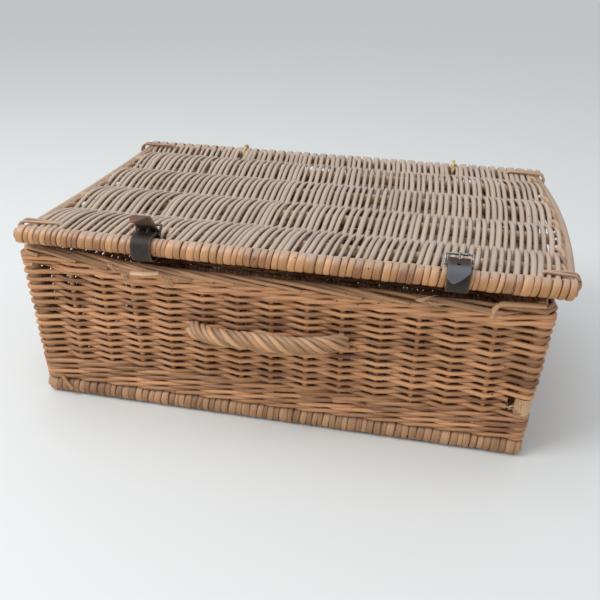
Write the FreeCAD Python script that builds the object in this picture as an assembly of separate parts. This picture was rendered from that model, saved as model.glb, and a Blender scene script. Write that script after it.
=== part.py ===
"""Flat willow hamper with a wrapped base, leaning woven walls, a hinged lid and two leather straps.

Frame: X runs along the hamper, -Y is the front with the handle and straps, +Z is up.
The origin is the middle of the flat underside of the base. All sizes are in millimetres.
"""

import FreeCAD, Part
import math
import os

V = FreeCAD.Vector

# ---- walls: the middle surface of each wall leans outwards from foot to border
foot_z = 9.5
border_z = 167.0
foot_half_length = 249.5
border_half_length = 256.5
foot_half_depth = 158.6
border_half_depth = 164.7
weave_thickness = 11.0
wale_thickness = 12.4
bottom_wale_low = 19.3
bottom_wale_high = 45.0
top_wale_low = 152.3
top_wale_high = 159.2
border_radius = 7.5
border_corner_radius = 12.0

# ---- sticks and stakes
fit_gap = 0.05
piece_gap = 0.3
stake_radius = 3.0
post_radius = 6.5
post_inset = 3.5
front_stake_count = 13
front_stake_pitch = 35.3
end_stake_count = 8
end_stake_pitch = 35.3
stake_top = 159.0

# ---- base
base_roll_radius = 9.5
base_stick_radius = 6.0
base_stick_half_length = 255.6
base_wrap_half_length = 252.0
base_weave_thickness = 12.0
base_weave_half_length = 245.5
base_inner_count = 4
base_inner_radius = 4.0
base_end_rod_radius = 3.4

# ---- lid: a wrapped front roll and back roll joined by a woven panel
lid_shift = 8.0
lid_half_length = 264.0
lid_axis_z = 192.0
lid_depth = 340.0
lid_back_y = border_half_depth
lid_front_y = lid_back_y - lid_depth
lid_roll_radius = 9.0
lid_stick_radius = 5.5
lid_weave_thickness = 13.0
lid_inner_radius = 5.5
lid_inner_y = [-137.0, -57.0, 20.0, 97.0]
lid_edge_radius = 4.5
lid_wrap_half_length = 261.0

# ---- corner ties of the lid and hinge loops of the back border
tie_rod_radius = 1.7
tie_loop_radius = 8.6
tie_reach = 32.0
tie_setback = 15.0
hinge_rod_radius = 2.0
hinge_loop_radius = 11.6
hinge_loop_foot_z = 158.0
hinge_loop_x = {"left": -116.0, "right": 163.0}
hinge_slot_width = 5.4
hinge_slot_depth = 21.0

# ---- roped bow handle on the front wall
handle_left_x = -82.0
handle_right_x = 78.5
handle_z = 110.0
handle_stand_out = 24.0
handle_droop_deg = 2.0
handle_core_radius = 4.0
handle_rope_radius = 9.5
handle_bend_radius = 14.0

# ---- leather straps round the front roll of the lid
strap_width = 20.0
strap_thickness = 2.0
strap_x = {"left": -122.0, "right": 171.0}
strap_slot_width = 22.4
strap_slot_depth = 20.5
buckle_wire_radius = 1.2
buckle_half_width = 12.2
buckle_bar = (9.3, 9.3)
buckle_far_bar = (14.5, 17.5)
eye_radius = 3.3
prong_radius = 0.9
prong_ring_radius = 2.9
prong_ring_width = 2.4
prong_notch_width = 3.2
strap_hole_radius = 2.5


def half_depth(z):
    """Distance of the front and back walls' middle surface from the XZ plane, at height z."""
    return foot_half_depth + (z - foot_z) * (border_half_depth - foot_half_depth) / (border_z - foot_z)


def half_length(z):
    """Distance of the end walls' middle surface from the YZ plane, at height z."""
    return foot_half_length + (z - foot_z) * (border_half_length - foot_half_length) / (border_z - foot_z)


def rod(start, end, radius):
    """Round rod between two points."""
    return Part.makeCylinder(radius, (end - start).Length, start, end - start)


def box(low, high):
    """Box between its lowest and highest corners."""
    size = high - low
    return Part.makeBox(size.x, size.y, size.z, low)


def fused(shapes):
    """One clean solid out of shapes that overlap or touch."""
    whole = shapes[0].multiFuse(shapes[1:]).removeSplitter()
    return whole.Solids[0] if len(whole.Solids) == 1 else whole


def save(node, solids):
    """Writes one sub-part; a list of like pieces becomes one group of separate solids."""
    shape = Part.makeCompound(solids) if isinstance(solids, list) else solids
    shape.exportStep(os.path.join("parts", node + ".step"))


def leaning_block(low_z, high_z, x_range, y_range):
    """Block with flat top and bottom whose sides follow the lean of the walls."""
    rings = []
    for z in (low_z, high_z):
        x0, x1 = x_range(z)
        y0, y1 = y_range(z)
        corners = [V(x0, y0, z), V(x1, y0, z), V(x1, y1, z), V(x0, y1, z)]
        rings.append(Part.makePolygon(corners + corners[:1]))
    return Part.makeLoft(rings, True, True)


def side_block(side, low_z, high_z, thickness, end_margin):
    """Front (side -1) or back (side 1) wall block; its ends stop end_margin inside the end walls."""
    def x_range(z):
        return end_margin - half_length(z), half_length(z) - end_margin

    def y_range(z):
        middle = side * half_depth(z)
        return middle - thickness / 2, middle + thickness / 2

    return leaning_block(low_z, high_z, x_range, y_range)


def end_block(side, low_z, high_z, thickness, end_margin):
    """Left (side -1) or right (side 1) wall block; its ends stop end_margin inside the side walls."""
    def x_range(z):
        middle = side * half_length(z)
        return middle - thickness / 2, middle + thickness / 2

    def y_range(z):
        return end_margin - half_depth(z), half_depth(z) - end_margin

    return leaning_block(low_z, high_z, x_range, y_range)


def post_rod(side_x, side_y, low_z, high_z, radius):
    """Upright rod on a corner post's axis, cut level at both ends."""
    def axis_point(z):
        return V(side_x * (half_length(z) - post_inset), side_y * (half_depth(z) - post_inset), z)

    spare = 8.0
    whole = rod(axis_point(low_z - spare), axis_point(high_z + spare), radius)
    reach = 400.0
    return whole.common(box(V(-reach, -reach, low_z), V(reach, reach, high_z)))


def stake_positions(count, pitch):
    """Evenly spaced places along a wall, the middle one or pair about its centre."""
    return [(i - (count - 1) / 2) * pitch for i in range(count)]


def side_stakes(side, radius, low_z, high_z):
    """Stakes of the front or back wall."""
    y_low, y_high = side * half_depth(low_z), side * half_depth(high_z)
    places = stake_positions(front_stake_count, front_stake_pitch)
    return [rod(V(x, y_low, low_z), V(x, y_high, high_z), radius) for x in places]


def end_stakes(side, radius, low_z, high_z):
    """Stakes of the left or right wall."""
    x_low, x_high = side * half_length(low_z), side * half_length(high_z)
    places = stake_positions(end_stake_count, end_stake_pitch)
    return [rod(V(x_low, y, low_z), V(x_high, y, high_z), radius) for y in places]


corner_sides = [(x, y) for x in (-1, 1) for y in (-1, 1)]


def make_base():
    """Woven base: thick front and back sticks wrapped by the weavers, four inner sticks, end rods."""
    roll_y = foot_half_depth
    sticks = []
    sleeves = []
    stick_holes = []
    for side in (-1, 1):
        y = side * roll_y
        half = base_stick_half_length
        sticks.append(rod(V(-half, y, base_roll_radius), V(half, y, base_roll_radius), base_stick_radius))
        stick_holes.append(
            rod(V(-half, y, base_roll_radius), V(half, y, base_roll_radius), base_stick_radius + fit_gap)
        )
        wrap = base_wrap_half_length
        sleeves.append(rod(V(-wrap, y, base_roll_radius), V(wrap, y, base_roll_radius), base_roll_radius))
    save("base_outer_sticks", sticks)

    inner_z = base_weave_thickness / 2
    spacing = 2 * roll_y / (base_inner_count + 1)
    inner_sticks = []
    channels = []
    for y in stake_positions(base_inner_count, spacing):
        ends = V(-base_weave_half_length, y, inner_z), V(base_weave_half_length, y, inner_z)
        inner_sticks.append(rod(ends[0], ends[1], base_inner_radius))
        channels.append(rod(ends[0], ends[1], base_inner_radius + fit_gap))
    save("base_inner_sticks", inner_sticks)

    panel = box(
        V(-base_weave_half_length, -roll_y, 0), V(base_weave_half_length, roll_y, base_weave_thickness)
    )
    weave = fused([panel] + sleeves).cut(Part.makeCompound(stick_holes + channels))
    save("base_weave", weave)

    end_rods = []
    rod_z = (base_weave_thickness + bottom_wale_low) / 2
    reach = roll_y - base_roll_radius - piece_gap
    for side in (-1, 1):
        x = side * foot_half_length
        end_rods.append(rod(V(x, -reach, rod_z), V(x, reach, rod_z), base_end_rod_radius))
    save("base_end_rods", end_rods)


def make_uprights():
    """Corner posts and the four rows of stakes."""
    low = bottom_wale_low + piece_gap
    save("corner_posts", [post_rod(x, y, low, stake_top, post_radius) for x, y in corner_sides])
    save("front_stakes", side_stakes(-1, stake_radius, low, stake_top))
    save("back_stakes", side_stakes(1, stake_radius, low, stake_top))
    save("left_stakes", end_stakes(-1, stake_radius, low, stake_top))
    save("right_stakes", end_stakes(1, stake_radius, low, stake_top))


def upright_holes():
    """The room that posts and stakes take in the waling and weaving."""
    low, high = foot_z, border_z
    hole = stake_radius + fit_gap
    holes = [post_rod(x, y, low, high, post_radius + fit_gap) for x, y in corner_sides]
    for side in (-1, 1):
        holes += side_stakes(side, hole, low, high)
        holes += end_stakes(side, hole, low, high)
    return Part.makeCompound(holes)


def wale_ring(low_z, high_z, holes):
    """Waling round all four sides: the front and back runs turn the corner posts, the end runs fit between."""
    turn_radius = post_inset + wale_thickness / 2
    runs = []
    for side in (-1, 1):
        straight = side_block(side, low_z, high_z, wale_thickness, post_inset)
        turns = [post_rod(x, side, low_z, high_z, turn_radius) for x in (-1, 1)]
        runs.append(fused([straight] + turns).cut(holes))
    for side in (-1, 1):
        margin = post_inset + turn_radius + piece_gap
        runs.append(end_block(side, low_z, high_z, wale_thickness, margin).cut(holes))
    return runs


def make_walls():
    """Bottom waling, the four woven walls with channels for their stakes, and top waling."""
    holes = upright_holes()
    save("bottom_wale", wale_ring(bottom_wale_low, bottom_wale_high, holes))
    save("top_wale", wale_ring(top_wale_low, top_wale_high, holes))

    low, high = bottom_wale_high + piece_gap, top_wale_low - piece_gap
    margin = post_inset + post_radius + piece_gap
    front = side_block(-1, low, high, weave_thickness, margin).cut(holes)
    save("front_weave", front.cut(Part.makeCompound(handle_stub_holes())))
    back = side_block(1, low, high, weave_thickness, margin).cut(holes)
    notch_foot = hinge_loop_foot_z - hinge_loop_radius - hinge_rod_radius - piece_gap
    for x in hinge_loop_x.values():
        half = hinge_rod_radius + piece_gap
        back = back.cut(box(V(x - half, 0, notch_foot), V(x + half, 2 * border_half_depth, border_z)))
    save("back_weave", back)
    save("left_weave", end_block(-1, low, high, weave_thickness, margin).cut(holes))
    save("right_weave", end_block(1, low, high, weave_thickness, margin).cut(holes))


def make_border():
    """Rolled border round the top of the walls, a round ring with bent corners."""
    straight_x = border_half_length - border_corner_radius
    straight_y = border_half_depth - border_corner_radius
    pieces = []
    for side in (-1, 1):
        y, x = side * border_half_depth, side * border_half_length
        pieces.append(rod(V(-straight_x, y, border_z), V(straight_x, y, border_z), border_radius))
        pieces.append(rod(V(x, -straight_y, border_z), V(x, straight_y, border_z), border_radius))
    quarter = 90
    for turn in range(4):
        angle = math.radians(turn * quarter + quarter / 2)
        centre = V(
            math.copysign(straight_x, math.cos(angle)), math.copysign(straight_y, math.sin(angle)), border_z
        )
        bend = Part.makeTorus(border_corner_radius, border_radius, V(0, 0, 0), V(0, 0, 1), -180, 180, quarter)
        bend.rotate(V(0, 0, 0), V(0, 0, 1), turn * quarter)
        bend.translate(centre)
        pieces.append(bend)
    save("border", fused(pieces))


def closed_loop(centre_a, centre_b, plane_normal, loop_radius, rod_radius):
    """Closed loop of round rod: two half circles joined by straight legs, in the plane of plane_normal."""
    along = (centre_b - centre_a).normalize()
    across = plane_normal.cross(along)
    legs = []
    for side in (-1, 1):
        offset = across * (side * loop_radius)
        legs.append(rod(centre_a + offset, centre_b + offset, rod_radius))
    bends = []
    for centre, start in ((centre_b, across * -1), (centre_a, across)):
        bend = Part.makeTorus(loop_radius, rod_radius, V(0, 0, 0), V(0, 0, 1), -180, 180, 180)
        turn = FreeCAD.Rotation(start, plane_normal.cross(start), plane_normal, "ZXY")
        bend.Placement = FreeCAD.Placement(centre, turn)
        bends.append(bend)
    return fused(legs + bends)


def make_hinges():
    """Twisted willow loops that hold the back roll of the lid to the back border."""
    for side, x in hinge_loop_x.items():
        foot = V(x, lid_back_y, hinge_loop_foot_z)
        head = V(x, lid_back_y, lid_axis_z)
        loop = closed_loop(foot, head, V(1, 0, 0), hinge_loop_radius, hinge_rod_radius)
        save(side + "_hinge_loop", loop)


def tie_centres(side_x, y):
    """Centres of a corner tie's two half circles: round the edge rod, and in the lid's weave."""
    edge_x = lid_shift + side_x * (lid_half_length - lid_edge_radius)
    return V(edge_x, y, lid_axis_z), V(edge_x - side_x * tie_reach, y, lid_axis_z)


def make_lid():
    """Lid panel: wrapped front and back sticks, inner sticks, edge rods and thin corner ties."""
    middle = V(lid_shift, 0, lid_axis_z)
    half = V(lid_half_length, 0, 0)
    wrap = V(lid_wrap_half_length, 0, 0)
    holes = []
    sleeves = []
    for name, y in (("front", lid_front_y), ("back", lid_back_y)):
        axis = middle + V(0, y, 0)
        save("lid_" + name + "_stick", rod(axis - half, axis + half, lid_stick_radius))
        holes.append(rod(axis - half, axis + half, lid_stick_radius + fit_gap))
        sleeves.append(rod(axis - wrap, axis + wrap, lid_roll_radius))

    panel_half = lid_half_length - 2 * lid_edge_radius - piece_gap
    inner = []
    for y in lid_inner_y:
        axis = middle + V(0, y, 0)
        run = V(panel_half, 0, 0)
        inner.append(rod(axis - run, axis + run, lid_inner_radius))
        holes.append(rod(axis - run, axis + run, lid_inner_radius + fit_gap))
    save("lid_inner_sticks", inner)

    thick = V(0, 0, lid_weave_thickness / 2)
    panel = box(
        middle + V(-panel_half, lid_front_y, 0) - thick, middle + V(panel_half, lid_back_y, 0) + thick
    )
    slots = []
    for x in strap_x.values():
        reach = V(strap_slot_width / 2, 0, 2 * lid_roll_radius)
        front = V(x, lid_front_y, lid_axis_z)
        slots.append(box(front - reach, front + reach + V(0, strap_slot_depth, 0)))
    for x in hinge_loop_x.values():
        reach = V(hinge_slot_width / 2, 0, 2 * lid_roll_radius)
        back = V(x, lid_back_y, lid_axis_z)
        slots.append(box(back - reach - V(0, hinge_slot_depth, 0), back + reach))
    ties = {}
    for name_y, y in (("front", lid_front_y + tie_setback), ("back", lid_back_y - tie_setback)):
        for name_x, side in (("left", -1), ("right", 1)):
            outer, inner_centre = tie_centres(side, y)
            ties[name_y + "_" + name_x + "_tie"] = closed_loop(
                outer, inner_centre, V(0, 1, 0), tie_loop_radius, tie_rod_radius
            )
            slot_half = V(tie_loop_radius / 2 + 2 * piece_gap, tie_rod_radius + piece_gap, 2 * lid_roll_radius)
            slot_centre = inner_centre - V(side * (tie_loop_radius - 4 * piece_gap), 0, 0)
            slots.append(box(slot_centre - slot_half, slot_centre + slot_half))
    panel = panel.cut(Part.makeCompound(slots))
    save("lid_weave", fused([panel] + sleeves).cut(Part.makeCompound(holes)))
    for node, tie in ties.items():
        save(node, tie)

    for name, side in (("left", -1), ("right", 1)):
        x = side * (lid_half_length - lid_edge_radius)
        front = middle + V(x, lid_front_y + lid_roll_radius + piece_gap, 0)
        back = middle + V(x, lid_back_y - lid_roll_radius - piece_gap, 0)
        save("lid_" + name + "_edge_rod", rod(front, back, lid_edge_radius))


def rounded_path(points, radii):
    """Wire through straight runs joined by tangent arcs; radii holds one radius per inner corner."""
    edges = []
    run_start = points[0]
    for i, radius in enumerate(radii, start=1):
        corner = points[i]
        back = (points[i - 1] - corner).normalize()
        onward = (points[i + 1] - corner).normalize()
        half_angle = back.getAngle(onward) / 2
        setback = radius / math.tan(half_angle)
        arc_start = corner + back * setback
        arc_end = corner + onward * setback
        to_centre = (back + onward).normalize()
        arc_middle = corner + to_centre * (radius / math.sin(half_angle) - radius)
        if (arc_start - run_start).Length > 0.001:
            edges.append(Part.LineSegment(run_start, arc_start).toShape())
        edges.append(Part.Arc(arc_start, arc_middle, arc_end).toShape())
        run_start = arc_end
    edges.append(Part.LineSegment(run_start, points[-1]).toShape())
    return Part.Wire(edges)


def handle_frame(point):
    """Turns a point of the level bow (x, stand-out, height) down by the droop and puts it on the wall."""
    droop = math.radians(handle_droop_deg)
    stand_out, height = point.y, point.z
    wall_y = -half_depth(handle_z) - weave_thickness / 2
    return V(
        point.x,
        wall_y - stand_out * math.cos(droop) + height * math.sin(droop),
        handle_z - stand_out * math.sin(droop) - height * math.cos(droop),
    )


def handle_path(inside):
    """Centre line of the bow, starting and ending 'inside' behind the wall's outer face."""
    bend_share = 0.22
    span = handle_right_x - handle_left_x
    shoulder = bend_share * span
    level = [
        V(handle_left_x, -inside, 0),
        V(handle_left_x, handle_stand_out * 0.55, 0),
        V(handle_left_x + shoulder, handle_stand_out, 0),
        V(handle_right_x - shoulder, handle_stand_out, 0),
        V(handle_right_x, handle_stand_out * 0.55, 0),
        V(handle_right_x, -inside, 0),
    ]
    return rounded_path([handle_frame(p) for p in level], [handle_bend_radius, 60.0, 60.0, handle_bend_radius])


def swept_rod(path, radius):
    """Round rod along a wire of straight runs and tangent arcs."""
    start = path.Edges[0]
    normal = start.tangentAt(start.FirstParameter)
    profile = Part.Wire([Part.makeCircle(radius, start.valueAt(start.FirstParameter), normal)])
    return path.makePipeShell([profile], True, False)


def handle_stub_holes():
    """Holes through the front weave for the two ends of the handle's core."""
    droop = math.radians(handle_droop_deg)
    direction = V(0, -math.cos(droop), -math.sin(droop))
    holes = []
    for x in (handle_left_x, handle_right_x):
        face = handle_frame(V(x, 0, 0))
        holes.append(rod(face - direction * 20, face + direction * 20, handle_core_radius + fit_gap))
    return holes


def make_handle():
    """Bow of thick willow stuck through the front wall, and the twisted rods roped round it."""
    core = swept_rod(handle_path(weave_thickness - 1.5), handle_core_radius)
    save("handle_core", core)
    rope = swept_rod(handle_path(-1.5), handle_rope_radius)
    room = swept_rod(handle_path(weave_thickness), handle_core_radius + fit_gap)
    save("handle_rope", rope.cut(room))


def strap_point(pair, x=0.0):
    """A place given as (behind, above) the axis of the lid's front roll."""
    return V(x, lid_front_y + pair[0], lid_axis_z + pair[1])


def strap_band(centre_x, corners, radii):
    """Flat leather band that follows a centre line in the YZ plane."""
    left = centre_x - strap_width / 2
    path = rounded_path([strap_point(c, left) for c in corners], radii)
    outline = path.makeOffset2D(strap_thickness / 2, 0, False, False)
    return Part.Face(outline).extrude(V(strap_width, 0, 0))


# Centre lines of the straps, as (behind, above) the axis of the lid's front roll: from the eye at the
# buckle over the top of the roll, down its front, under it, up through the weave and through the buckle.
strap_start = [(9.3, 10.6), (-10.6, 10.6)]
right_strap_line = strap_start + [
    (-10.6, -11.0), (14.8, -12.5), (15.6, 8.6), (11.0, 14.8), (-14.4, 14.8), (-14.8, 1.5),
]
right_strap_radii = [10.0, 10.0, 8.0, 5.0, 4.0, 8.5]
left_strap_line = strap_start + [
    (-10.6, -13.2), (14.4, -13.4), (15.6, 8.6), (10.2, 15.2), (3.6, 20.4), (3.8, 31.0), (-11.0, 28.0),
]
left_strap_radii = [10.0, 10.0, 8.0, 5.0, 4.0, 4.5, 4.5]


def tip_trims(centre_x, line, lengths):
    """Wedges that cut the strap's end to a point; lengths are the cut's length on the left and right edge."""
    tip = strap_point(line[-1], centre_x)
    onward = (tip - strap_point(line[-2], centre_x)).normalize()
    through = V(1, 0, 0).cross(onward) * 6.0
    spare = 2.0
    end = tip + onward * spare - through / 2
    trims = []
    for side, length in zip((-1, 1), lengths):
        edge = V(side * (strap_width / 2 + spare), 0, 0)
        outline = [end + edge, end + edge - onward * (length + spare), end]
        trims.append(Part.Face(Part.makePolygon(outline + outline[:1])).extrude(through))
    return trims


def make_strap(name, line, radii, tip_lengths):
    """Strap with its eye, its hole and its cut tip; the wire buckle; and the buckle's prong."""
    x = strap_x[name]
    bar = strap_point(buckle_bar, x)
    far_bar = strap_point(buckle_far_bar, x)
    half_strap = V(strap_width / 2, 0, 0)
    half_bar = V(buckle_half_width, 0, 0)
    bar_room = rod(bar - half_bar, bar + half_bar, buckle_wire_radius + fit_gap)

    lean = (far_bar - bar).normalize()
    ahead = V(1, 0, 0).cross(lean)
    prong_offset = ahead * (buckle_wire_radius + prong_radius + 0.1)
    prong_root = bar + prong_offset
    prong_tip = far_bar + prong_offset + lean * 1.6

    eye = rod(bar - half_strap, bar + half_strap, eye_radius)
    half_notch = V(prong_notch_width / 2, 0, 0)
    notch = rod(bar - half_notch, bar + half_notch, eye_radius + 0.8)
    hole = rod(prong_root + lean * 2.0, prong_tip + lean * 4.0, strap_hole_radius)
    strap = fused([strap_band(x, line, radii), eye])
    for tool in [bar_room, notch, hole] + tip_trims(x, line, tip_lengths):
        strap = strap.cut(tool)
    save(name + "_strap", strap)

    frame_corners = [bar - half_bar, bar + half_bar, far_bar + half_bar, far_bar - half_bar]
    wires = []
    for i, corner in enumerate(frame_corners):
        wires.append(rod(corner, frame_corners[(i + 1) % 4], buckle_wire_radius))
        wires.append(Part.makeSphere(buckle_wire_radius, corner))
    save(name + "_buckle", fused(wires))

    half_ring = V(prong_ring_width / 2, 0, 0)
    ring = rod(bar - half_ring, bar + half_ring, prong_ring_radius)
    pin = rod(prong_root, prong_tip, prong_radius)
    save(name + "_prong", fused([ring, pin]).cut(bar_room))


def main():
    os.makedirs("parts", exist_ok=True)
    make_base()
    make_uprights()
    make_walls()
    make_border()
    make_hinges()
    make_lid()
    make_handle()
    make_strap("left", left_strap_line, left_strap_radii, (3.0, 12.0))
    make_strap("right", right_strap_line, right_strap_radii, (4.5, 7.5))


main()
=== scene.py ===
"""An old flat willow hamper: a base made on sticks, stake-and-strand walls, a lid made on sticks, a roped
handle on the front and two leather straps that close it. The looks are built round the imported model.

X runs along the hamper, -Y is its front, +Z is up, and every size is in metres.
"""

import math
import random

import bmesh
import bpy
import numpy as np
from mathutils import Matrix, Vector


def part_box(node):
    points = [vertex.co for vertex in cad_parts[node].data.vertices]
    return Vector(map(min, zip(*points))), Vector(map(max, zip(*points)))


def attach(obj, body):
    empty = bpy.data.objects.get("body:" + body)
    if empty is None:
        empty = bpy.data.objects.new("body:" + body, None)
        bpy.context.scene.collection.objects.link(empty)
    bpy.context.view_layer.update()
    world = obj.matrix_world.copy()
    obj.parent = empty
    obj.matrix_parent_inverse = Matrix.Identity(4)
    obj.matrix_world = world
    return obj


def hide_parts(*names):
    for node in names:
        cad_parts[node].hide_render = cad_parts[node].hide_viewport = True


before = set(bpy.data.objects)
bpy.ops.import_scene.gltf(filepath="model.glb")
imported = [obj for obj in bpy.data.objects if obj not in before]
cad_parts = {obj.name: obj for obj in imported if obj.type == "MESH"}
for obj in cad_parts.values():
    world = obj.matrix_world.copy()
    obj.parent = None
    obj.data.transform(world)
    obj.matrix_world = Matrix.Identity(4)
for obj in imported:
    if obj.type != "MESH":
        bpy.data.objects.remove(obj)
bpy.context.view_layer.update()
chance = random.Random(1897)


# ---- Base ---------------------------------------------------------------------------------------------
# The base is woven first. A thick stick lies along the front and another along the back, four thinner
# sticks lie between them, and rods weave over and under these and wrap the two thick ones all along.

def willow(name, dark, light, dust_and_sheen, dust_and_sheen_amount, rough, run=None):
    """Old willow: streaks along each rod, a tone of its own for each rod, stains, worm holes, and dust with a
    painted grey sky sheen on the faces that point up. A frame part has no rod attributes, so it takes its
    streaks along run, 0 for X, 1 for Y or 2 for Z, and its dust and painted sheen on noise patches."""
    material = bpy.data.materials.new(name)
    material.use_nodes = True
    tree = material.node_tree
    shader = tree.nodes["Principled BSDF"]

    def node(kind, **settings):
        made = tree.nodes.new("ShaderNode" + kind)
        for key, value in settings.items():
            setattr(made, key, value)
        return made

    def join(out, into):
        tree.links.new(out, into)
        return into.node

    def maths(operation, first, second):
        made = node("Math", operation=operation)
        for socket, value in zip(made.inputs, (first, second)):
            if isinstance(value, (int, float)):
                socket.default_value = value
            else:
                join(value, socket)
        return made.outputs[0]

    def noise(place, scales, detail):
        stretched = node("VectorMath", operation="MULTIPLY")
        join(place, stretched.inputs[0])
        stretched.inputs[1].default_value = scales
        texture = node("TexNoise")
        texture.inputs["Scale"].default_value = 1
        texture.inputs["Detail"].default_value = detail
        join(stretched.outputs[0], texture.inputs["Vector"])
        return texture.outputs["Fac"]

    def blend(share, first, second):
        made = node("Mix", data_type="RGBA")
        for key, value in ((0, share), (6, first), (7, second)):
            if isinstance(value, (int, float, tuple)):
                made.inputs[key].default_value = value if key == 0 else (*value, 1)
            else:
                join(value, made.inputs[key])
        return made.outputs[2]

    own_place = node("TexCoord").outputs["Object"]
    if run is None:
        grain = node("Attribute", attribute_name="grain").outputs["Vector"]
        tone = node("Attribute", attribute_name="tone").outputs["Fac"]
        top = node("Attribute", attribute_name="top").outputs["Fac"]
        along = 0
    else:
        grain = own_place
        tone = noise(own_place, (9, 9, 9), 1)
        top = noise(own_place, (30, 30, 30), 1)
        along = run
    fine = tuple(70 if axis == along else 1300 for axis in range(3))
    broad = tuple(26 if axis == along else 260 for axis in range(3))
    streak = noise(grain, fine, 4)
    stain = noise(grain, broad, 2)
    patch = noise(own_place, (17, 17, 17), 2)

    shade = maths("ADD", maths("MULTIPLY", tone, 0.62), maths("MULTIPLY", streak, 0.75))
    shade = maths("ADD", shade, maths("MULTIPLY", stain, 0.55))
    shade = maths("ADD", shade, maths("MULTIPLY", patch, 0.35))
    ramp = node("ValToRGB")
    middle = tuple(0.45 * d + 0.55 * p for d, p in zip(dark, light))
    pale = tuple(min(1, p * 1.22 + 0.02) for p in light)
    stops = ramp.color_ramp.elements
    stops[0].position, stops[0].color = 0.38, (*dark, 1)
    stops[1].position, stops[1].color = 0.82, (*pale, 1)
    for position, colour in ((0.52, middle), (0.68, light)):
        stops.new(position).color = (*colour, 1)
    join(maths("MULTIPLY", shade, 0.53), ramp.inputs[0])

    # Dust and a painted grey sky sheen: grey is mixed into the colour on the faces that point up (on noise
    # patches for frame parts).
    dust_and_sheen_share = maths("MULTIPLY", maths("MULTIPLY", top, dust_and_sheen_amount), maths("ADD", patch, 0.45))
    colour = blend(dust_and_sheen_share, ramp.outputs[0], dust_and_sheen)
    worm = node("TexVoronoi", feature="F1")
    worm.inputs["Scale"].default_value = 105
    join(own_place, worm.inputs["Vector"])
    chosen = node("SeparateColor")
    join(worm.outputs["Color"], chosen.inputs[0])
    hole = maths("MULTIPLY", maths("LESS_THAN", worm.outputs["Distance"], 0.085),
                 maths("GREATER_THAN", chosen.outputs[0], 0.62))
    colour = blend(hole, colour, (0.02, 0.011, 0.006))
    join(colour, shader.inputs["Base Color"])

    gloss = node("MapRange")
    gloss.inputs["From Min"].default_value = 0.3
    gloss.inputs["From Max"].default_value = 0.7
    gloss.inputs["To Min"].default_value = rough + 0.12
    gloss.inputs["To Max"].default_value = rough - 0.08
    join(streak, gloss.inputs["Value"])
    join(gloss.outputs[0], shader.inputs["Roughness"])
    relief = node("Bump")
    relief.inputs["Strength"].default_value = 0.5
    relief.inputs["Distance"].default_value = 0.0006
    join(maths("SUBTRACT", maths("ADD", streak, stain), hole), relief.inputs["Height"])
    join(relief.outputs[0], shader.inputs["Normal"])
    return material


def bend_rods(name, rods, body, material, sides=8, stands_for=(), press=None):
    """Bends willow rods, each a list of (x, y, z, radius), and lays them together as one piece of the hamper.
    Each vertex keeps its rod's tone, its place along and round the rod, and how much it faces up. press, when
    given, reshapes the round rods from each vertex's offset from its rod's middle."""
    curve = bpy.data.curves.new(name, "CURVE")
    curve.dimensions = "3D"
    curve.bevel_depth = 1
    curve.bevel_resolution = sides // 2 - 2
    curve.use_fill_caps = True
    rods = [np.asarray(rod, float) for rod in rods]
    for rod in rods:
        spline = curve.splines.new("POLY")
        spline.points.add(len(rod) - 1)
        spline.points.foreach_set("co", np.column_stack([rod[:, :3], np.ones(len(rod))]).ravel())
        spline.points.foreach_set("radius", rod[:, 3])
    bent = bpy.data.objects.new(name, curve)
    mesh = bpy.data.meshes.new_from_object(bent)
    bpy.data.objects.remove(bent)
    bpy.data.curves.remove(curve)

    stations = []
    for i, rod in enumerate(rods):
        steps = np.linalg.norm(np.diff(rod[:, :3], axis=0), axis=1)
        walk = np.r_[0, np.cumsum(steps)] + i * 0.7
        stations.append(np.column_stack([np.full(len(rod), chance.random()), walk, rod]))
    rings = [stations[i][[-1, 0]] for i in reversed(range(len(rods)))] + stations
    rings = np.repeat(np.concatenate(rings), sides, axis=0)
    tone, walk, middle, radius = rings[:, 0], rings[:, 1], rings[:, 2:5], rings[:, 5]
    angle = np.tile(np.arange(sides) * 2 * math.pi / sides, len(rings) // sides)
    grain = np.column_stack([walk, radius * np.cos(angle), radius * np.sin(angle)])
    mesh.attributes.new("tone", "FLOAT", "POINT").data.foreach_set("value", tone)
    mesh.attributes.new("grain", "FLOAT_VECTOR", "POINT").data.foreach_set("vector", grain.ravel())
    if press:
        places = np.empty(len(mesh.vertices) * 3)
        mesh.vertices.foreach_get("co", places)
        places = middle + press(places.reshape(-1, 3) - middle, radius)
        mesh.vertices.foreach_set("co", places.ravel())

    shape = bmesh.new()
    shape.from_mesh(mesh)
    bmesh.ops.remove_doubles(shape, verts=shape.verts, dist=1e-6)
    shape.to_mesh(mesh)
    shape.free()
    # How much each vertex faces up; the willow colour mixes dust and a painted grey sky sheen in by it.
    facing = np.zeros(len(mesh.vertices) * 3)
    mesh.vertex_normals.foreach_get("vector", facing)
    up = np.clip(facing[2::3], 0, 1) ** 2
    mesh.attributes.new("top", "FLOAT", "POINT").data.foreach_set("value", up)
    mesh.set_sharp_from_angle(angle=math.radians(75))
    mesh.materials.append(material)
    piece = bpy.data.objects.new(name, mesh)
    bpy.context.scene.collection.objects.link(piece)
    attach(piece, body)
    if stands_for:
        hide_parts(*stands_for)
    return piece


wrap_depth = 0.0014


def split_face(offset, radius):
    """Presses rods into the flat face and square edges that a rod takes where it is wrapped tight."""
    across = offset[:, 0] / radius
    rest = offset[:, 1:]
    size = np.maximum(np.linalg.norm(rest, axis=1), 1e-9)
    pressed = offset.copy()
    pressed[:, 0] = radius * np.sign(across) * np.abs(across) ** 0.6
    pressed[:, 1:] = rest / size[:, None] * (wrap_depth * (size / radius) ** 0.6)[:, None]
    return pressed


def lie_flat(offset, _radius):
    """Presses rods a little wider and flatter, as they dry in a panel."""
    return offset * (1.18, 1, 0.85)


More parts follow.
